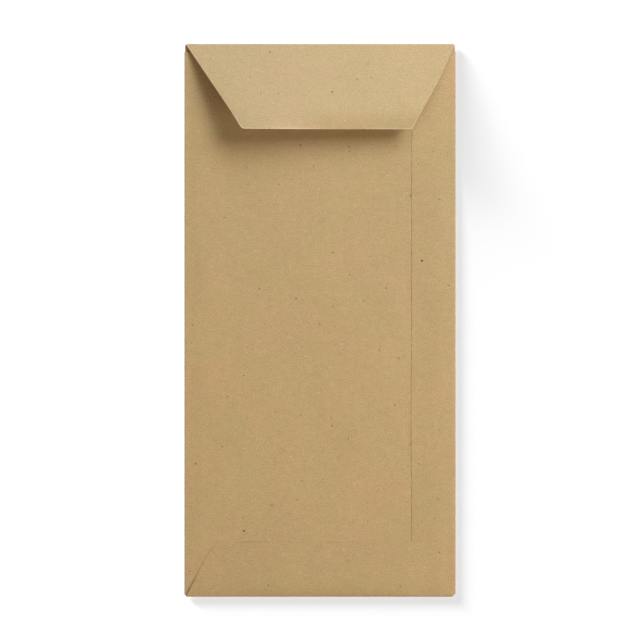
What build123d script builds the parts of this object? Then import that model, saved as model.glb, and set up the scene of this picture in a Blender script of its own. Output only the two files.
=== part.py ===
from build123d import *
import os

# Paper envelope: a pocket of folded kraft paper that opens on its short side.
# It lies on its front panel, with the back and both flaps facing up.
# +X runs across the envelope, +Y along it towards the closing flap, +Z up.
# The origin is under the middle of the front panel. All lengths in millimetres.

# ---- driving dimensions -------------------------------------------------
width = 110.0             # left fold to right fold
length = 224.3            # bottom fold to top fold
paper = 0.13              # thickness of the sheet
side_bend = 0.15          # inner radius of the two side folds
bottom_bend = 0.30        # inner radius of the bottom fold
top_bend = 0.25           # inner radius of the closing flap's fold
glue_line = 0.02          # film between two glued layers

seam_x = 37.05            # cut edge of the wide back panel
seam_overlap = 10.0       # width of the side strip hidden under that panel
seam_step = 1.4           # run over which the wide panel climbs onto the strip
throat_drop = 3.2         # from the top fold down to the mouth of the pocket
corner_relief = 0.55      # side folds stop this far from the bottom fold

bottom_flap_height = 22.35       # bottom fold to its free edge
bottom_flap_half_fold = 54.4    # half width at the fold
bottom_flap_half_top = 42.6     # half width at the free edge
bottom_flap_corner = 7.5        # rounding of its two free corners

flap_height = 34.6        # top fold to the free edge, seen from above
flap_fold_left = -54.4    # ends of the fold line
flap_fold_right = 54.8
flap_lift_left = 12.0     # the free edge stands this high at its left corner
flap_lift_right = 8.0     # and this high at its right corner
flap_corner_left = -30.6
flap_corner_right = 37.4
flap_corner_round = 1.6

os.makedirs("parts", exist_ok=True)

# ---- levels -------------------------------------------------------------
half_w = width / 2
half_l = length / 2
x_tan = half_w - side_bend - paper          # where the side folds begin
z_side = paper + side_bend                  # centre height of the side folds
back_z = z_side + side_bend                 # underside of the back layer
lap_z = back_z + paper + glue_line          # underside of the lapped layer
strip_x = seam_x - seam_overlap             # hidden edge of the side strip
y_bottom_tan = -half_l + bottom_bend + paper
z_bottom = paper + bottom_bend
y_top_tan = half_l - top_bend - paper
z_top = paper + top_bend
y_back_low = -half_l + corner_relief
y_throat = half_l - throat_drop


def flap_section(x):
    """Rise per millimetre of the closing flap on the section at x."""
    run = flap_corner_right - flap_corner_left
    left = flap_lift_left / flap_height
    right = flap_lift_right / flap_height
    return left + (right - left) * (x - flap_corner_left) / run


# ---- bottom flap: folded up over the back and glued down flat ------------
with BuildPart() as bottom_flap:
    with BuildSketch(Plane.YZ.offset(-bottom_flap_half_fold)) as bottom_profile:
        with BuildLine():
            y_edge = -half_l + bottom_flap_height
            out_r = bottom_bend + paper
            Line((y_back_low, 0), (y_bottom_tan, 0))
            ThreePointArc(
                (y_bottom_tan, 0),
                (y_bottom_tan - out_r, z_bottom),
                (y_bottom_tan, z_bottom + out_r),
            )
            Polyline(
                (y_bottom_tan, z_bottom + out_r),
                (y_edge, z_bottom + out_r),
                (y_edge, z_bottom + bottom_bend),
                (y_bottom_tan, z_bottom + bottom_bend),
            )
            ThreePointArc(
                (y_bottom_tan, z_bottom + bottom_bend),
                (y_bottom_tan - bottom_bend, z_bottom),
                (y_bottom_tan, paper),
            )
            Polyline((y_bottom_tan, paper), (y_back_low, paper), (y_back_low, 0))
        make_face()
    extrude(amount=2 * bottom_flap_half_fold)
    # slanting sides and rounded free corners
    with BuildSketch(Plane.XY.offset(-1)) as bottom_outline:
        with BuildLine():
            FilletPolyline(
                (-bottom_flap_half_fold, -half_l + 0.9),
                (-bottom_flap_half_top - 1.4, y_edge),
                (bottom_flap_half_top + 1.4, y_edge),
                (bottom_flap_half_fold, -half_l + 0.9),
                radius=bottom_flap_corner,
            )
            Polyline(
                (bottom_flap_half_fold, -half_l + 0.9),
                (bottom_flap_half_fold, -half_l - 2),
                (-bottom_flap_half_fold, -half_l - 2),
                (-bottom_flap_half_fold, -half_l + 0.9),
            )
        make_face()
    extrude(amount=4, mode=Mode.INTERSECT)

# ---- closing flap: folded over at the top and springing open -------------
with BuildPart() as closing_flap:
    for x in (flap_fold_left, flap_fold_right):
        rise = flap_section(x)
        along = Vector(-1, rise).normalized()          # down the flap, in Y and Z
        up = Vector(along.Y, -along.X)                 # out of its upper face
        centre = Vector(y_top_tan, z_top)
        outer = centre + up * (top_bend + paper)
        inner = centre + up * top_bend
        reach = (y_top_tan - (half_l - flap_height - 1.5)) / -along.X
        with BuildSketch(Plane.YZ.offset(x)):
            with BuildLine():
                Line((y_top_tan - 1, 0), (y_top_tan, 0))
                ThreePointArc(
                    (y_top_tan, 0),
                    (y_top_tan + top_bend + paper, z_top),
                    (outer.X, outer.Y),
                )
                far_out = outer + along * reach
                far_in = inner + along * reach
                Polyline(
                    (outer.X, outer.Y),
                    (far_out.X, far_out.Y),
                    (far_in.X, far_in.Y),
                    (inner.X, inner.Y),
                )
                ThreePointArc(
                    (inner.X, inner.Y),
                    (y_top_tan + top_bend, z_top),
                    (y_top_tan, paper),
                )
                Polyline((y_top_tan, paper), (y_top_tan - 1, paper), (y_top_tan - 1, 0))
            make_face()
    loft(ruled=True)
    # slanting sides and small round corners at the free edge
    with BuildSketch(Plane.XY.offset(-1)) as closing_outline:
        with BuildLine():
            FilletPolyline(
                (flap_fold_left, half_l - 0.6),
                (-36.4, 85.4),
                (-31.6, half_l - flap_height + 0.1),
                (flap_corner_right + 0.1, half_l - flap_height - 0.1),
                (47.8, 96.1),
                (flap_fold_right, half_l - 1.4),
                radius=(6.0, flap_corner_round, 0.9, 20.0),
            )
            Polyline(
                (flap_fold_right, half_l - 1.4),
                (flap_fold_right, half_l + 2),
                (flap_fold_left, half_l + 2),
                (flap_fold_left, half_l - 0.6),
            )
        make_face()
    extrude(amount=30, mode=Mode.INTERSECT)

# ---- the sheet: front panel, side folds, back panel and side strip -------
with BuildPart() as envelope_sheet:
    # section across the pocket, drawn at its lower end and run up to the throat
    with BuildSketch(Plane.XZ.offset(-y_throat)) as pocket_profile:
        with BuildLine():
            r_out = side_bend + paper
            step0 = strip_x - 0.3 - seam_step
            step1 = strip_x - 0.3
            Polyline(
                (seam_x, lap_z + paper),
                (step1, lap_z + paper),
                (step0, back_z + paper),
                (-x_tan, back_z + paper),
            )
            ThreePointArc((-x_tan, back_z + paper), (-half_w, z_side), (-x_tan, 0))
            Line((-x_tan, 0), (x_tan, 0))
            ThreePointArc((x_tan, 0), (half_w, z_side), (x_tan, back_z + paper))
            Polyline(
                (x_tan, back_z + paper),
                (strip_x, back_z + paper),
                (strip_x, back_z),
                (x_tan, back_z),
            )
            ThreePointArc((x_tan, back_z), (x_tan + side_bend, z_side), (x_tan, paper))
            Line((x_tan, paper), (-x_tan, paper))
            ThreePointArc((-x_tan, paper), (-x_tan - side_bend, z_side), (-x_tan, back_z))
            Polyline(
                (-x_tan, back_z),
                (step0, back_z),
                (step1, lap_z),
                (seam_x, lap_z),
                (seam_x, lap_z + paper),
            )
        make_face()
    extrude(amount=y_throat - y_back_low)
    # front panel above the throat, up to the fold of the closing flap
    with BuildSketch(Plane.XY):
        with Locations((0, (y_throat + y_top_tan) / 2)):
            Rectangle(2 * x_tan, y_top_tan - y_throat)
    extrude(amount=paper)
    add(bottom_flap.part)
    add(closing_flap.part)

envelope_sheet.part.label = "envelope_sheet"
export_step(envelope_sheet.part, "parts/envelope_sheet.step")
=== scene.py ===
import bpy
import math
import numpy as np
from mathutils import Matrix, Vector


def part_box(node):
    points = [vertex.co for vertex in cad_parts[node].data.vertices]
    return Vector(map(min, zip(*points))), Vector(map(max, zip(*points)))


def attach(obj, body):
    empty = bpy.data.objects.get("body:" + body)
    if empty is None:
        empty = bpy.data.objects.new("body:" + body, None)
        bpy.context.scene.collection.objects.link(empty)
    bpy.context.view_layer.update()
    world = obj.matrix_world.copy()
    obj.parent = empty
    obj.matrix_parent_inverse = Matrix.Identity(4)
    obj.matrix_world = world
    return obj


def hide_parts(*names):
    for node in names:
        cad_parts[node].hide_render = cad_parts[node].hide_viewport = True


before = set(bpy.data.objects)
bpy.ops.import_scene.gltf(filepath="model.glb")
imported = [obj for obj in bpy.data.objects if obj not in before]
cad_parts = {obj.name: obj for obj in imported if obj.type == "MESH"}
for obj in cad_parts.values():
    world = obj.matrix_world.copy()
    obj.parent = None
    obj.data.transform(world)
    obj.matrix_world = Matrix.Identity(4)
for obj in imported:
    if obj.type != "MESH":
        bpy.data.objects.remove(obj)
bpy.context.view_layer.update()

low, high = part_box("envelope_sheet")
MM = 0.001
half_w = float(high.x) / MM  # left fold to right fold, halved
half_l = float(high.y) / MM  # bottom fold to top fold, halved

# ---------------------------------------------------------------- dimensions, mm
paper = 0.13
side_bend = 0.15
bottom_bend = 0.225
top_bend = 0.25
film = 0.02  # glue between two layers

seam_x = 37.05
seam_overlap = 10.0
throat_y = half_l - 3.2
back_low_y = -half_l + 0.55

x_tan = half_w - side_bend - paper
side_mid = side_bend + paper / 2
y_bt = -half_l + bottom_bend + paper
bottom_mid = bottom_bend + paper / 2
y_tt = half_l - top_bend - paper
top_mid = top_bend + paper / 2
front_z = paper / 2
back_z = front_z + 2 * side_mid

# closing flap, seen from above
flap_left_fold = -54.47
flap_left = [(-54.52, half_l + 1.0), (-54.37, half_l - 0.3), (-36.57, 85.5), (-32.67, 79.3), (-31.7, half_l - 34.4)]
flap_right = [(54.6, half_l + 1.0), (54.55, half_l - 0.9), (47.63, 96.2), (37.28, half_l - 34.6)]
flap_edge_left = half_l - 34.36
flap_edge_right = half_l - 34.58
flap_round_left = 2.4
flap_round_right = 0.7
tilt_left = math.radians(20.0)
tilt_right = math.radians(14.5)

# bottom flap, seen from above
bf_fold = 54.4
bf_corner = 42.6
bf_edge = -half_l + 22.35
bf_round = 7.5


# ---------------------------------------------------------------- helpers
def spaced(stops):
    """Positions from pairs of (place, step near it), with the step easing between them."""
    out = [stops[0][0]]
    for (a, da), (b, db) in zip(stops, stops[1:]):
        n = max(1, int(round((b - a) / (0.5 * (da + db)))))
        q = np.arange(1, n + 1) / n
        r = da / (da + db)
        w = 2 * r * q + (1 - 2 * r) * q * q  # step da at the start and db at the end
        out += list(a + (b - a) * w)
    return np.array(out)


def smooth(v):
    v = np.clip(v, 0, 1)
    return v * v * (3 - 2 * v)


def filleted(a, b, c, radius, n=10):
    """Points of the arc that rounds the corner b of the line a-b-c."""
    a, b, c = (np.array(p, float) for p in (a, b, c))
    u = (a - b) / np.linalg.norm(a - b)
    w = (c - b) / np.linalg.norm(c - b)
    half = 0.5 * math.acos(float(np.clip(u @ w, -1, 1)))
    back = radius / math.tan(half)
    mid = b + (u + w) / np.linalg.norm(u + w) * radius / math.sin(half)
    p, q = b + u * back, b + w * back
    a0 = math.atan2(*(p - mid)[::-1])
    a1 = math.atan2(*(q - mid)[::-1])
    d = (a1 - a0 + math.pi) % (2 * math.pi) - math.pi
    return [tuple(mid + radius * np.array([math.cos(a0 + d * k / n), math.sin(a0 + d * k / n)])) for k in range(n + 1)]


def side_line(points):
    """x as a function of y along a side given as points with falling or rising y."""
    p = sorted(((y, x) for x, y in points))
    ys = np.array([k[0] for k in p])
    xs = np.array([k[1] for k in p])
    return lambda y: np.interp(y, ys, xs)


def wave(x, y, terms):
    z = 0.0
    for amp, lx, ly, ph in terms:
        z = z + amp * np.sin(2 * math.pi * (x / lx + y / ly) + ph)
    return z


slow_waves = [
    (0.050, 61.0, 143.0, 0.4),
    (0.040, -83.0, 71.0, 2.1),
    (0.030, 47.0, -58.0, 4.4),
    (0.022, -29.0, 41.0, 1.3),
    (0.016, 23.0, 37.0, 5.2),
    (0.010, -17.0, 19.0, 3.0),
]


def back_level(x, y):
    """Height of the middle of the back layer: pressed at the folds, a little air in the middle."""
    side = np.maximum(x_tan - np.abs(x), 0)
    up_from = np.maximum(y - y_bt, 0)
    lip = np.where(x > 0, 0.045 * (1 - np.exp(-((side / 0.8) ** 2))), 0.015 * (1 - np.exp(-((side / 0.6) ** 2))))
    air = 0.48 * (1 - np.exp(-((side / 19.0) ** 2)))
    foot = 0.30 * (1 - np.exp(-up_from / 2.3)) * (1 - np.exp(-((side / 5.0) ** 2)))
    calm = (1 - np.exp(-((side / 6.0) ** 2))) * (1 - np.exp(-((up_from / 8.0) ** 2)))
    return back_z + lip + foot + air * (1 - np.exp(-up_from / 2.6)) + wave(x, y, slow_waves) * calm


def strip_level(x, y):
    """The side strip: under the wide panel at the seam, level with it at the right fold."""
    sunk = 1 - smooth((x - (seam_x + 1.0)) / 15.0)
    return back_level(x, y) - (paper + film) * sunk


def bottom_flap_level(x, y):
    """The bottom flap, glued down on both."""
    sunk = smooth((x - (seam_x - 2.0)) / 12.0) * (1 - smooth((x - (seam_x + 1.0)) / 15.0))
    loose = 0.16 * np.exp(-((x + 52.5) / 5.0) ** 2 - ((y + 105.0) / 7.0) ** 2)
    return back_level(x, y) + paper + film - (paper + film) * sunk + loose


def seam_line(y):
    return seam_x - 0.27 * np.exp(-(((y + 40.0) / 24.0) ** 2))


# ---------------------------------------------------------------- the sheet's middle surface
points, blank, quads = [], [], []


def add(p, uv):
    points.append((float(p[0]), float(p[1]), float(p[2])))
    blank.append((float(uv[0]), float(uv[1])))
    return len(points) - 1


def weave_grid(grid, flip=False):
    for r0, r1 in zip(grid, grid[1:]):
        for k in range(len(r0) - 1):
            q = (r0[k], r0[k + 1], r1[k + 1], r1[k])
            quads.append(q[::-1] if flip else q)


cols = spaced([(-x_tan, 0.2), (flap_left_fold, 0.22), (-bf_fold, 0.1), (-50.0, 0.9), (-40.0, 1.7), (20.0, 1.7), (36.0, 1.0), (40.0, 1.0), (50.0, 0.9), (bf_fold, 0.3), (x_tan, 0.26)])
rows = spaced([(y_bt, 0.2), (back_low_y, 0.2), (-half_l + 5.0, 0.45), (-100.0, 1.6), (100.0, 1.6), (throat_y, 0.7), (y_tt, 0.5)])
i_fl = int(np.argmin(abs(cols - flap_left_fold)))
i_b0 = int(np.argmin(abs(cols + bf_fold)))
i_b1 = int(np.argmin(abs(cols - bf_fold)))
j_w0 = int(np.argmin(abs(rows - back_low_y)))
j_w1 = int(np.argmin(abs(rows - throat_y)))

front = [[add((x, y, front_z), (x, y)) for x in cols] for y in rows]
weave_grid(front, flip=True)

n_arc = 10
arc = np.pi * np.arange(1, n_arc + 1) / n_arc

# left side: the wide back panel, out to the seam
wide = spaced([(-x_tan, 0.16), (-x_tan + 2.4, 0.45), (-x_tan + 8.0, 1.5), (seam_x - 4.0, 1.6), (seam_x - 0.8, 0.4), (seam_x, 0.12)])[1:]
left = []
for j in range(j_w0, j_w1 + 1):
    y = rows[j]
    line = [front[j][0]]
    for a in arc:
        line.append(add((-x_tan - side_mid * math.sin(a), y, front_z + side_mid * (1 - math.cos(a))), (-x_tan - side_mid * a, y)))
    shift = seam_line(y) - seam_x
    for x in wide:
        xx = x + shift * max(0.0, (x - 20.0) / (seam_x - 20.0))
        z = float(back_level(xx, y))
        z += 0.05 * math.exp(-(((seam_line(y) - xx) / 0.9) ** 2)) * (0.6 + 0.4 * math.sin(y / 9.0))
        line.append(add((xx, y, z), (-x_tan - side_mid * math.pi - (xx + x_tan), y)))
    left.append(line)
weave_grid(left)

# right side: the strip, tucked under the wide panel
strip = spaced([(-x_tan, 0.16), (-x_tan + 2.4, 0.45), (-x_tan + 6.0, 1.3), (-seam_x - 1.0, 0.4), (-seam_x - 0.5, 0.1), (-seam_x + 0.35, 0.1), (-seam_x + 1.2, 0.5), (-seam_x + seam_overlap, 1.4)])[1:]
right = []
for j in range(j_w0, j_w1 + 1):
    y = rows[j]
    line = [front[j][-1]]
    for a in arc:
        line.append(add((x_tan + side_mid * math.sin(a), y, front_z + side_mid * (1 - math.cos(a))), (x_tan + side_mid * a, y)))
    for x in strip:
        z = float(strip_level(-x, y))
        z -= 0.04 * math.exp(-(((-x - seam_line(y)) / 0.30) ** 2))
        line.append(add((-x, y, z), (x_tan + side_mid * math.pi + (x + x_tan), y)))
    right.append(line)
weave_grid(right, flip=True)

# bottom flap, folded up over the back
bf_top = (bf_corner, bf_edge)
bf_side = [(bf_fold, -half_l - 1), (bf_fold, -half_l + 0.95)] + filleted((bf_fold, -half_l + 0.95), bf_top, (0, bf_edge), bf_round, 14)
bf_x = side_line(bf_side)
up = spaced([(y_bt, 0.22), (y_bt + 4.0, 0.45), (bf_edge - 6.5, 1.3), (bf_edge - 1.2, 0.35), (bf_edge, 0.06)])[1:]
bottom = [[front[0][i] for i in range(i_b0, i_b1 + 1)]]
t_b = (cols[i_b0:i_b1 + 1] + bf_fold) / (2 * bf_fold)
for a in arc:
    y = y_bt - bottom_mid * math.sin(a)
    bottom.append([add((x, y, front_z + bottom_mid * (1 - math.cos(a))), (x, y_bt - bottom_mid * a)) for x in cols[i_b0:i_b1 + 1]])
for y in up:
    w = float(bf_x(y))
    line = []
    for t in t_b:
        x = -w + 2 * w * t
        z = float(bottom_flap_level(x, y))
        line.append(add((x, y, z), (x, y_bt - bottom_mid * math.pi - (y - y_bt))))
    bottom.append(line)
weave_grid(bottom)

# closing flap, folded over at the top and springing up
fl_l = side_line(flap_left[:-2] + [flap_left[-2]] + filleted(flap_left[-2], flap_left[-1], (0, flap_edge_left), flap_round_left, 12))
fl_r = side_line(flap_right[:-1] + filleted(flap_right[-2], flap_right[-1], (0, flap_edge_right), flap_round_right, 8))
t_f = (cols[i_fl:] - cols[i_fl]) / (cols[-1] - cols[i_fl])
q_f = spaced([(0.0, 0.008), (0.08, 0.03), (0.75, 0.035), (0.94, 0.014), (1.0, 0.004)])
fine = np.linspace(0, 1, 401)


def flap_profile(t):
    """Heights and places down the flap for the column t, from the fold to the free edge."""
    tilt = tilt_left + (tilt_right - tilt_left) * t - math.radians(1.2) * math.exp(-t / 0.14)
    droop = math.radians(3.0) + math.radians(13.0) * smooth((t - 0.18) / 0.3)
    theta = tilt * (1.0 + 0.05 * np.cos(fine * 5.0)) - droop * smooth((fine - 0.66) / 0.34) ** 1.3
    end = flap_edge_left + (flap_edge_right - flap_edge_left) * (1 - math.exp(-t / 0.25))
    bend = math.pi - tilt * 1.05
    y0 = y_tt + top_mid * math.sin(bend)
    z0 = front_z + top_mid * (1 - math.cos(bend))
    c = np.concatenate([[0], np.cumsum(0.5 * (np.cos(theta[1:]) + np.cos(theta[:-1])) / 400)])
    s = np.concatenate([[0], np.cumsum(0.5 * (np.sin(theta[1:]) + np.sin(theta[:-1])) / 400)])
    length = (y0 - end) / c[-1]
    return bend, y0 - length * c, z0 + length * s, length


profiles = [flap_profile(float(t)) for t in t_f]
top = [[front[-1][i] for i in range(i_fl, len(cols))]]
for k in range(1, n_arc + 1):
    line = []
    for t, (bend, ys, zs, length) in zip(t_f, profiles):
        a = bend * k / n_arc
        y = y_tt + top_mid * math.sin(a)
        z = front_z + top_mid * (1 - math.cos(a))
        x = (1 - t) * float(fl_l(y)) + t * float(fl_r(y))
        line.append(add((x, y, z), (x, y_tt + top_mid * a)))
    top.append(line)
for q in q_f[1:]:
    ya, yb = np.interp(q, fine, profiles[0][1]), np.interp(q, fine, profiles[-1][1])
    xa, xb = float(fl_l(ya)), float(fl_r(yb))
    line = []
    for t, (bend, ys, zs, length) in zip(t_f, profiles):
        x = (1 - t) * xa + t * xb
        line.append(add((x, np.interp(q, fine, ys), np.interp(q, fine, zs)), (x, y_tt + top_mid * bend + length * q)))
    top.append(line)
weave_grid(top, flip=True)

P = np.array(points)
B = np.array(blank)
Q = np.array(quads)
panel = np.zeros(len(P), int)  # 0 front, 1 wide back, 2 side strip, 3 bottom flap, 4 closing flap
for k, grid in ((1, left), (2, right), (3, bottom), (4, top)):
    for line in grid:
        for v in line:
            panel[v] = k

# blunt corners: the plan is eased from a square to a round corner
for sx, sy, r in ((-1, -1, 1.1), (1, -1, 1.9), (1, 1, 0.6), (-1, 1, 0.35)):
    cx, cy = sx * (half_w - r), sy * (half_l - r)
    dx, dy = (P[:, 0] - cx) * sx, (P[:, 1] - cy) * sy
    near = (dx > 0) & (dy > 0)
    f = np.maximum(dx, dy) / np.maximum(np.hypot(dx, dy), 1e-9)
    P[near, 0] = cx + sx * (dx * f)[near]
    P[near, 1] = cy + sy * (dy * f)[near]

# ---------------------------------------------------------------- thickness
tri_n = np.cross(P[Q[:, 2]] - P[Q[:, 0]], P[Q[:, 3]] - P[Q[:, 1]])
N = np.zeros_like(P)
for k in range(4):
    np.add.at(N, Q[:, k], tri_n)
N /= np.maximum(np.linalg.norm(N, axis=1, keepdims=True), 1e-12)

edges = {}
for f, q in enumerate(Q):
    for a, b in zip(q, np.roll(q, -1)):
        edges.setdefault((min(a, b), max(a, b)), []).append((a, b))
rim = [v[0] for v in edges.values() if len(v) == 1]
n = len(P)
outer = P + N * paper / 2
inner = P - N * paper / 2
verts = np.concatenate([outer, inner]) * MM
faces = [tuple(int(v) for v in q) for q in Q]
faces += [tuple(int(v) + n for v in q[::-1]) for q in Q]
faces += [(int(b), int(a), int(a) + n, int(b) + n) for a, b in rim]

mesh = bpy.data.meshes.new("kraft_envelope")
mesh.from_pydata([tuple(v) for v in verts], [], faces)
mesh.update()

# distance along each panel to its own nearest cut edge, in mm
from mathutils import kdtree

cut = np.full(n, 50.0)
for k in range(5):
    own = [0.5 * (P[a] + P[b]) for a, b in rim if k in (panel[a], panel[b])]
    if not own:
        continue
    tree = kdtree.KDTree(len(own))
    for i, p in enumerate(own):
        tree.insert(Vector(p), i)
    tree.balance()
    for v in np.nonzero(panel == k)[0]:
        cut[v] = tree.find(Vector(P[v]))[2]

pattern = mesh.attributes.new("blank", "FLOAT_VECTOR", "POINT")
flat = np.zeros((2 * n, 3), np.float32)
flat[:n, :2] = B * MM
flat[n:, :2] = B * MM
flat[n:, 2] = 0.05
pattern.data.foreach_set("vector", flat.ravel())

# pale fibres along the cut edges with a painted highlight where they catch the light, and painted shade lines: in the
# side seam's crevice and beside the bottom flap's edges
X, Y = P[:, 0], P[:, 1]
# painted highlight on the seam's cut edge, stronger near the top and the bottom
seam_pale_and_highlight = 0.30 + 0.30 * smooth((Y - 2) / 12) + 0.35 * smooth((-78 - Y) / 6)
pale_and_highlight_most = np.select([panel == 1, panel == 2, panel == 3, panel == 4], [seam_pale_and_highlight, 0.25, 0.10, 1.0], 0.5)
reach = np.select([panel == 4, panel == 3], [0.62, 0.3], 0.42)
pale_edge_and_highlight = pale_and_highlight_most * np.clip(1 - cut / reach, 0, 1) ** 1.2
beside = X - seam_line(Y)
# painted shade: a dark line in the side seam's crevice, just right of the seam edge
painted_shadow_line = np.where((panel == 2) & (Y < throat_y - 8) & (Y > bf_edge - 0.5), np.exp(-(((beside - 0.08) / 0.16) ** 2)), 0.0)
down = np.clip((-half_l + 21.0 - Y) / 16.0, 0, 1)
flap_rim = smooth((0.60 - cut) / 0.34) * (panel == 3)
# painted shadow along the bottom flap's left edge, strongest towards its lower corner
painted_shadow_line = np.maximum(painted_shadow_line, flap_rim * (0.45 + 0.55 * down) * smooth((bf_edge - 0.9 - Y) / 1.6) * (X < 0))
showing = smooth((X + 34) / 1.5) * smooth((-20.0 - X) / 2.0) + smooth((X - 1.0) / 1.0) * smooth((8.5 - X) / 1.5)
# painted shadow: short pieces of line along the bottom flap's top edge
painted_shadow_line = np.maximum(painted_shadow_line, flap_rim * 0.60 * showing * (Y > bf_edge - 0.6))
painted_shadow_line[P[:, 2] < back_z - 0.05] = 0
for name, values in (("pale_edge_and_highlight", pale_edge_and_highlight), ("painted_shadow_line", painted_shadow_line)):
    mark = mesh.attributes.new(name, "FLOAT", "POINT")
    mark.data.foreach_set("value", np.concatenate([values, values * (name == "pale_edge_and_highlight")]).astype(np.float32))
is_rim = mesh.attributes.new("rim", "FLOAT", "FACE")
is_rim.data.foreach_set("value", np.array([0.0] * (2 * len(Q)) + [1.0] * len(rim), np.float32))

# the blank laid out flat: its outer face at full scale, its inner face at half, then the cut edges in rows
loops = np.zeros(len(mesh.loops), np.int32)
mesh.loops.foreach_get("vertex_index", loops)
left_end, low_end = B[:, 0].min(), B[:, 1].min()
right_end = B[:, 0].max()
span = 354.0
uv = np.zeros((len(loops), 2))
m = 4 * len(Q)
outer_at, inner_at = loops[:m], loops[m:2 * m] - n
uv[:m] = (B[outer_at] - (left_end, low_end) + 1.0) / span
uv[m:2 * m, 0] = (4.0 + right_end - left_end + (right_end - B[inner_at, 0]) * 0.5) / span
uv[m:2 * m, 1] = (1.0 + (B[inner_at, 1] - low_end) * 0.5) / span
x_at, y_at, x_from = 0.0, 148.0, 4.0 + right_end - left_end
for k, (a, b) in enumerate(rim):
    step = 0.5 * float(np.linalg.norm(P[a] - P[b]))
    if x_at + step > 112.0:
        x_at, y_at = 0.0, y_at + 1.6
    u0, u1 = (x_from + x_at) / span, (x_from + x_at + step) / span
    v0, v1 = y_at / span, (y_at + 0.8) / span
    uv[2 * m + 4 * k:2 * m + 4 * k + 4] = [(u1, v0), (u0, v0), (u0, v1), (u1, v1)]
    x_at += step
layout = mesh.uv_layers.new(name="OFBake")
layout.data.foreach_set("uv", uv.astype(np.float32).ravel())
blank_area = 0.5 * np.abs(np.cross(B[Q[:, 2]] - B[Q[:, 0]], B[Q[:, 3]] - B[Q[:, 1]])).sum() * 1e-6
print("blank", round(right_end - left_end, 2), round(B[:, 1].max() - low_end, 2), "area", round(float(blank_area), 5), "uv max", uv.max().round(3), "rows end", round(y_at, 1))

mesh.shade_smooth()
sharp = mesh.attributes.new("sharp_edge", "BOOLEAN", "EDGE")
rim_set = set()
for a, b in rim:
    rim_set.add((min(int(a), int(b)), max(int(a), int(b))))
    rim_set.add((min(int(a), int(b)) + n, max(int(a), int(b)) + n))
ev = np.zeros(len(mesh.edges) * 2, np.int32)
mesh.edges.foreach_get("vertices", ev)
ev = np.sort(ev.reshape(-1, 2), axis=1)
sharp.data.foreach_set("value", np.array([(int(a), int(b)) in rim_set for a, b in ev], bool))

envelope = bpy.data.objects.new("kraft_envelope", mesh)
bpy.context.scene.collection.objects.link(envelope)
print("triangles", 2 * len(faces), "length of flap mm", round(profiles[0][3], 2), round(profiles[-1][3], 2), "heights", round(float(profiles[0][2][-1]), 2), round(float(profiles[-1][2][-1]), 2))

# ---------------------------------------------------------------- kraft paper
mat = bpy.data.materials.new("kraft_paper")
mat.use_nodes = True
nt = mat.node_tree
BASE = (0.495, 0.341, 0.1465)
GRAIN, FORMATION, CLOUD = 0.74, 0.19, 0.11
TINT, BROAD_TINT = 0.13, 0.14
PALE_AND_HIGHLIGHT, PAINTED_SHADOW_LINE, WARM = 0.65, 0.95, 0.028
bsdf = nt.nodes["Principled BSDF"]


def node(kind, **settings):
    made = nt.nodes.new(kind)
    for key, value in settings.items():
        setattr(made, key, value)
    return made


def plug(value, socket):
    if isinstance(value, bpy.types.NodeSocket):
        nt.links.new(value, socket)
    else:
        socket.default_value = value


def math_(op, a, b=0.0, clamp=False):
    m = node("ShaderNodeMath", operation=op, use_clamp=clamp)
    plug(a, m.inputs[0])
    plug(b, m.inputs[1])
    return m.outputs[0]


def vec_(op, a, b=None, scale=None):
    m = node("ShaderNodeVectorMath", operation=op)
    plug(a, m.inputs[0])
    if b is not None:
        plug(b, m.inputs[1])
    if scale is not None:
        plug(scale, m.inputs["Scale"])
    return m.outputs["Value"] if op in ("DISTANCE", "LENGTH", "DOT_PRODUCT") else m.outputs["Vector"]


def noise(vector, scale, detail=2.0, rough=0.5, distortion=0.0):
    m = node("ShaderNodeTexNoise", noise_dimensions="3D")
    plug(vector, m.inputs["Vector"])
    m.inputs["Scale"].default_value = scale
    m.inputs["Detail"].default_value = detail
    m.inputs["Roughness"].default_value = rough
    m.inputs["Distortion"].default_value = distortion
    return math_("SUBTRACT", m.outputs["Fac"], 0.5)


def ramp(value, a, b, soft=True):
    """0 at a and 1 at b, held outside."""
    m = node("ShaderNodeMapRange", interpolation_type="SMOOTHSTEP" if soft else "LINEAR", clamp=True)
    plug(value, m.inputs["Value"])
    m.inputs["From Min"].default_value = a
    m.inputs["From Max"].default_value = b
    return m.outputs["Result"]


def mix(factor, a, b):
    m = node("ShaderNodeMix", data_type="RGBA")
    plug(factor, m.inputs["Factor"])
    plug(a, m.inputs[6])
    plug(b, m.inputs[7])
    return m.outputs[2]


def named(name):
    return node("ShaderNodeAttribute", attribute_name=name)


def stretched(vector, sx, sy, turn=0.0, shift=(0, 0, 0)):
    m = node("ShaderNodeMapping")
    plug(vector, m.inputs["Vector"])
    m.inputs["Location"].default_value = shift
    m.inputs["Rotation"].default_value = (0, 0, math.radians(turn))
    m.inputs["Scale"].default_value = (sx, sy, 1)
    return m.outputs["Vector"]


at = vec_("SCALE", named("blank").outputs["Vector"], scale=1000.0)  # place on the flat blank, mm

grain = noise(stretched(at, 1.0, 0.75), 2.2, 1.0, 0.6)
formation = noise(stretched(at, 1.0, 0.8, shift=(31, 7, 0)), 0.42, 2.0, 0.62)
cloud = noise(stretched(at, 1.0, 0.7, shift=(-50, 90, 0)), 0.040, 2.0, 0.5)
tint = noise(stretched(at, 1.0, 1.0, shift=(12, -44, 0)), 0.30, 2.0, 0.6)
broad_tint = noise(stretched(at, 1.0, 1.0, shift=(70, 15, 0)), 0.045, 2.0, 0.5)

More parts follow.
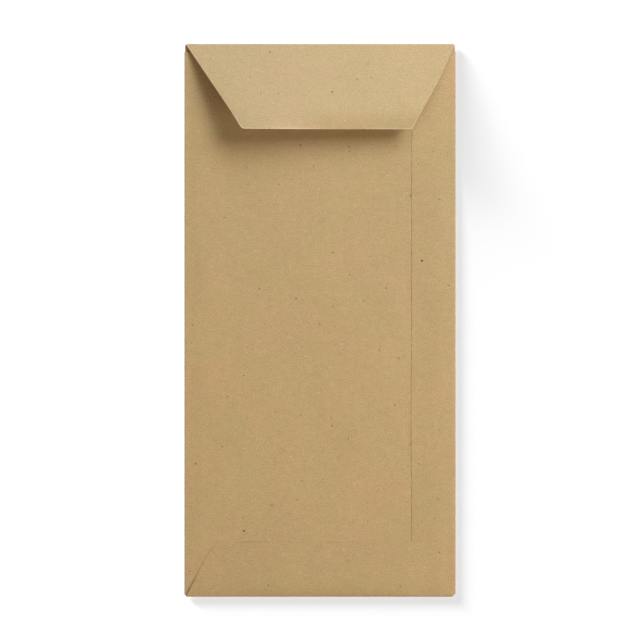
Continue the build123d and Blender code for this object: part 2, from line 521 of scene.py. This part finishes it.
shade = math_("ADD", math_("MULTIPLY", grain, GRAIN), math_("MULTIPLY", formation, FORMATION))
shade = math_("ADD", shade, math_("MULTIPLY", cloud, CLOUD))
along = node("ShaderNodeSeparateXYZ")
plug(at, along.inputs[0])
# painted shade: the sheet darker towards the bottom, where the light falls off
shade = math_("SUBTRACT", shade, math_("MULTIPLY", ramp(along.outputs[1], -45.0, -112.0), 0.035))
# painted shade: the side strip a little darker, to even out the light across the sheet
shade = math_("SUBTRACT", shade, math_("MULTIPLY", ramp(along.outputs[0], 54.2, 57.0), 0.030))
# painted light: the wide panel lighter towards the left fold, to even out the light across the sheet
left_back_painted_light = math_("MULTIPLY", ramp(along.outputs[0], -100.0, -60.0), ramp(along.outputs[0], -54.0, -57.0))
shade = math_("ADD", shade, math_("MULTIPLY", left_back_painted_light, 0.034))
# painted shade: the left half of the closing flap darker, against the light its steeper tilt catches
left_flap_painted_shade = math_("MULTIPLY", ramp(along.outputs[0], 12.0, -35.0), ramp(along.outputs[1], 111.5, 113.0))
shade = math_("SUBTRACT", shade, math_("MULTIPLY", left_flap_painted_shade, 0.034))
shade = math_("ADD", shade, 1.0)
base = vec_("SCALE", BASE, scale=shade)

# a slow drift between a pinker and a greener brown
hue = math_("ADD", math_("MULTIPLY", tint, TINT), math_("MULTIPLY", broad_tint, BROAD_TINT))
warm = math_("MULTIPLY", ramp(along.outputs[1], 55.0, -45.0), WARM)  # a little redder towards the bottom
drift = node("ShaderNodeCombineXYZ")
plug(math_("ADD", math_("ADD", hue, warm), 1.0), drift.inputs[0])
plug(math_("SUBTRACT", 1.0, math_("MULTIPLY", hue, 0.55)), drift.inputs[1])
blue = math_("SUBTRACT", math_("ADD", math_("MULTIPLY", hue, 0.8), 1.0), math_("MULTIPLY", warm, 1.1))
plug(math_("ADD", blue, math_("MULTIPLY", grain, 0.35)), drift.inputs[2])
colour = vec_("MULTIPLY", base, drift.outputs[0])


# fibres: short curved threads, some pale and some dark, lying every way
def fibres(scale, thin, gate_scale, gate, turn, sx, sy, shift):
    wobble = noise(stretched(at, 1, 1, shift=shift), 0.35 * scale, 1.0, 0.5)
    bent = vec_("ADD", stretched(at, sx, sy, turn, shift), vec_("SCALE", (1.0, 0.7, 0.0), scale=math_("MULTIPLY", wobble, 2.4 / scale)))
    cells = node("ShaderNodeTexVoronoi", feature="DISTANCE_TO_EDGE", voronoi_dimensions="3D")
    plug(bent, cells.inputs["Vector"])
    cells.inputs["Scale"].default_value = scale
    line = ramp(cells.outputs["Distance"], thin, thin * 0.3)
    open_ = ramp(noise(stretched(at, 1, 1, shift=(shift[1], shift[0], 0)), gate_scale, 1.0, 0.5), gate, gate + 0.05)
    return math_("MULTIPLY", line, open_)


pale_threads = fibres(0.75, 0.070, 0.40, 0.085, 20, 1.0, 0.55, (5, 17, 3))
dark_threads = fibres(0.60, 0.055, 0.30, 0.140, -35, 0.6, 1.0, (41, 3, 9))
colour = mix(math_("MULTIPLY", pale_threads, 0.12), colour, (0.74, 0.60, 0.38, 1))
colour = mix(math_("MULTIPLY", dark_threads, 0.20), colour, (0.25, 0.15, 0.06, 1))


# specks of bark and old ink
def specks(scale, radius, share, shift, sx=1.0, sy=1.0, turn=0.0):
    ragged = vec_("ADD", stretched(at, sx, sy, turn, shift), vec_("SCALE", (0.25, 0.25, 0.0), scale=noise(at, 2.6, 1.0, 0.5)))
    cells = node("ShaderNodeTexVoronoi", feature="F1", voronoi_dimensions="2D")
    plug(ragged, cells.inputs["Vector"])
    cells.inputs["Scale"].default_value = scale
    split = node("ShaderNodeSeparateColor")
    plug(cells.outputs["Color"], split.inputs[0])
    size = math_("MULTIPLY", math_("POWER", split.outputs[1], 1.5), radius * scale)
    spot = ramp(math_("SUBTRACT", cells.outputs["Distance"], size), 0.25 * radius * scale, -0.10 * radius * scale)
    chosen = math_("LESS_THAN", split.outputs[0], share)
    return math_("MULTIPLY", math_("MULTIPLY", spot, chosen), math_("ADD", math_("MULTIPLY", split.outputs[2], 0.6), 0.4))


fine_specks = specks(0.140, 0.32, 0.55, (3, 8, 0))
coarse_specks = specks(0.060, 0.42, 0.40, (19, 44, 0), 1.0, 0.7, 25)
light_bits = specks(0.150, 0.32, 0.50, (77, 21, 0), 0.7, 1.0, -15)
colour = mix(math_("MULTIPLY", fine_specks, 0.85), colour, (0.15, 0.08, 0.03, 1))
colour = mix(math_("MULTIPLY", coarse_specks, 0.90), colour, (0.12, 0.065, 0.025, 1))
colour = mix(math_("MULTIPLY", light_bits, 0.45), colour, (0.76, 0.62, 0.42, 1))

# a few larger flecks: panel, x and y as they lie, length, width, turn, strength
flecks = [
    ("strip", 41.4, 24.2, 0.42, 0.36, 20, 1.0),
    ("wide", -30.9, -85.5, 0.38, 0.32, -30, 0.95),
    ("wide", 11.8, 70.5, 0.36, 0.24, 10, 0.60),
    ("wide", 11.8, 68.8, 0.30, 0.24, 80, 0.50),
    ("wide", -19.5, -75.1, 0.30, 0.25, 45, 0.75),
    ("wide", -37.6, -30.9, 0.25, 0.22, 0, 0.80),
    ("strip", 48.5, -94.2, 0.27, 0.24, 15, 0.80),
    ("wide", 4.8, -42.9, 0.40, 0.24, 60, 0.65),
    ("wide", -9.7, 8.9, 0.40, 0.26, -40, 0.60),
    ("wide", 12.0, 18.5, 0.28, 0.22, 70, 0.60),
    ("flap", -20.3, 108.8, 0.34, 0.26, 10, 0.70),
    ("bottom", 11.1, -97.7, 1.00, 0.16, 35, 0.40),
]
dots = None
for where, fx, fy, flen, fwid, fturn, power in flecks:
    if where == "wide":
        spot_at = (-2 * x_tan - side_mid * math.pi - fx, fy)
    elif where == "strip":
        spot_at = (2 * x_tan + side_mid * math.pi - fx, fy)
    elif where == "bottom":
        spot_at = (fx, 2 * y_bt - bottom_mid * math.pi - fy)
    else:
        t = (fx + 54.0) / 108.0
        bend, ys, zs, length = flap_profile(t)
        spot_at = (fx, y_tt + top_mid * bend + length * float(np.interp(-fy, -ys, fine)))
    turned = node("ShaderNodeMapping", vector_type="TEXTURE")
    plug(at, turned.inputs["Vector"])
    turned.inputs["Location"].default_value = (spot_at[0], spot_at[1], 0)
    turned.inputs["Rotation"].default_value = (0, 0, math.radians(fturn))
    turned.inputs["Scale"].default_value = (flen * 1.5, fwid * 1.5, 1)
    mark = math_("MULTIPLY", ramp(vec_("LENGTH", turned.outputs["Vector"]), 1.0, 0.60), power)
    dots = mark if dots is None else math_("MAXIMUM", dots, mark)
colour = mix(dots, colour, (0.10, 0.055, 0.025, 1))

# cut edges: pale fibres with a painted highlight, then painted shade and shadow lines at the seam and the bottom flap
pale_and_highlight_breakup = math_("ADD", math_("MULTIPLY", noise(at, 1.6, 2.0, 0.6), 1.6), 0.85, clamp=True)
edge_pale_and_highlight = math_("MULTIPLY", named("pale_edge_and_highlight").outputs["Fac"], pale_and_highlight_breakup)
colour = mix(math_("MULTIPLY", edge_pale_and_highlight, PALE_AND_HIGHLIGHT), colour, (0.80, 0.68, 0.50, 1))
# painted shade and shadow lines at the seam and the bottom flap, broken up by noise
shadow_line_breakup = math_("ADD", math_("MULTIPLY", noise(at, 0.35, 2.0, 0.6), 2.2), 0.75, clamp=True)
colour = mix(math_("MULTIPLY", math_("MULTIPLY", named("painted_shadow_line").outputs["Fac"], shadow_line_breakup), PAINTED_SHADOW_LINE), colour, (0.16, 0.09, 0.035, 1))
colour = mix(math_("MULTIPLY", named("rim").outputs["Fac"], 0.55), colour, (0.78, 0.66, 0.48, 1))
plug(colour, bsdf.inputs["Base Color"])
bsdf.inputs["Specular IOR Level"].default_value = 1.0
plug(math_("ADD", math_("MULTIPLY", formation, 0.25), 0.60), bsdf.inputs["Roughness"])

height = math_("ADD", math_("MULTIPLY", grain, 0.012), math_("MULTIPLY", formation, 0.030))
height = math_("ADD", height, math_("MULTIPLY", noise(stretched(at, 1.0, 0.6, shift=(9, 2, 0)), 0.085, 1.0, 0.5), 0.10))
height = math_("ADD", height, math_("MULTIPLY", pale_threads, 0.006))
bump = node("ShaderNodeBump")
bump.inputs["Distance"].default_value = MM
bump.inputs["Strength"].default_value = 1.0
plug(height, bump.inputs["Height"])
plug(bump.outputs["Normal"], bsdf.inputs["Normal"])
mesh.materials.append(mat)

# ---------------------------------------------------------------- floor, light and camera
floor_mesh = bpy.data.meshes.new("floor")
s = 8.0
under = -0.7e-3  # the photo's drop shadow is that of a sheet just clear of the surface
floor_mesh.from_pydata([(-s, -s, under), (s, -s, under), (s, s, under), (-s, s, under)], [], [(0, 1, 2, 3)])
floor = bpy.data.objects.new("floor", floor_mesh)
bpy.context.scene.collection.objects.link(floor)
white = bpy.data.materials.new("floor_white")
white.use_nodes = True
white.node_tree.nodes["Principled BSDF"].inputs["Base Color"].default_value = (0.9, 0.9, 0.9, 1)
white.node_tree.nodes["Principled BSDF"].inputs["Roughness"].default_value = 0.9
floor_mesh.materials.append(white)

lit_paper = bpy.data.collections.new("lit_paper")
lit_paper.objects.link(envelope)
lit_floor = bpy.data.collections.new("lit_floor")
lit_floor.objects.link(floor)


def lamp(name, slope, weight, target, near=None, spread=0.42):
    """A round soft light in the direction (slope x, slope y, 1). Its weight is the brightness that it
    gives a white card lying flat. One with a distance stands that high, and falls off across the sheet."""
    a, c = slope
    far = math.sqrt(1 + a * a + c * c)
    strength = max(weight)
    data = bpy.data.lights.new(name, "SUN" if near is None else "AREA")
    if near is None:
        data.angle = spread
        data.energy = math.pi * far * strength
    else:
        data.shape = "DISK"
        data.size = 2 * math.tan(spread / 2) * near * far
        data.energy = strength * math.pi ** 2 * near ** 2 * far ** 3
    data.color = [w / strength for w in weight]
    ob = bpy.data.objects.new(name, data)
    ob.location = Vector((0.0, 0.075, 0.0)) + Vector((a, c, 1)) * (near or 2.0)
    ob.rotation_euler = (-Vector((a, c, 1))).to_track_quat("-Z", "Y").to_euler()
    ob.light_linking.receiver_collection = target
    bpy.context.scene.collection.objects.link(ob)


NEAR = 0.80
lamp("key_a", (1.1, 0.7), (0.345, 0.352, 0.357), lit_paper, NEAR)
lamp("key_b", (0.7, 1.1), (0.125, 0.136, 0.148), lit_paper, NEAR)
lamp("key_c", (1.1, 1.6), (0.116, 0.130, 0.146), lit_paper, NEAR)
lamp("key_d", (0.3, 1.6), (0.092, 0.098, 0.108), lit_paper)
lamp("fill_a", (0.7, -0.8), (0.071, 0.052, 0.033), lit_paper, NEAR)
lamp("fill_b", (2.3, -0.8), (0.109, 0.100, 0.088), lit_paper, NEAR)
lamp("fill_c", (-0.2, -0.8), (0.100, 0.085, 0.068), lit_paper)
lamp("fill_d", (-0.8, -0.6), (0.083, 0.069, 0.053), lit_paper)
lamp("floor_top", (0.0, 0.0), (0.81, 0.81, 0.81), lit_floor)
lamp("floor_a", (-2.1, 2.3), (0.10, 0.10, 0.10), lit_floor, spread=0.16)
lamp("floor_b", (-3.3, 3.3), (0.10, 0.10, 0.10), lit_floor, spread=0.14)
lamp("floor_c", (-5.2, 4.7), (0.09, 0.09, 0.09), lit_floor, spread=0.13)

world = bpy.data.worlds.new("studio")
world.use_nodes = True
world.node_tree.nodes["Background"].inputs["Color"].default_value = (1, 1, 1, 1)
world.node_tree.nodes["Background"].inputs["Strength"].default_value = 0.02
bpy.context.scene.world = world

cam = bpy.data.cameras.new("camera")
cam.type = "ORTHO"
cam.ortho_scale = 0.25980
cam.clip_start = 0.01
cam.clip_end = 20
cam_ob = bpy.data.objects.new("camera", cam)
cam_ob.location = (-0.00001, 0.00013, 0.9)
bpy.context.scene.collection.objects.link(cam_ob)
bpy.context.scene.camera = cam_ob

scene = bpy.context.scene
scene.view_settings.view_transform = "Standard"
scene.view_settings.look = "None"
scene.view_settings.exposure = 0.0
scene.view_settings.gamma = 1.0

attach(envelope, "root")
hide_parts("envelope_sheet")
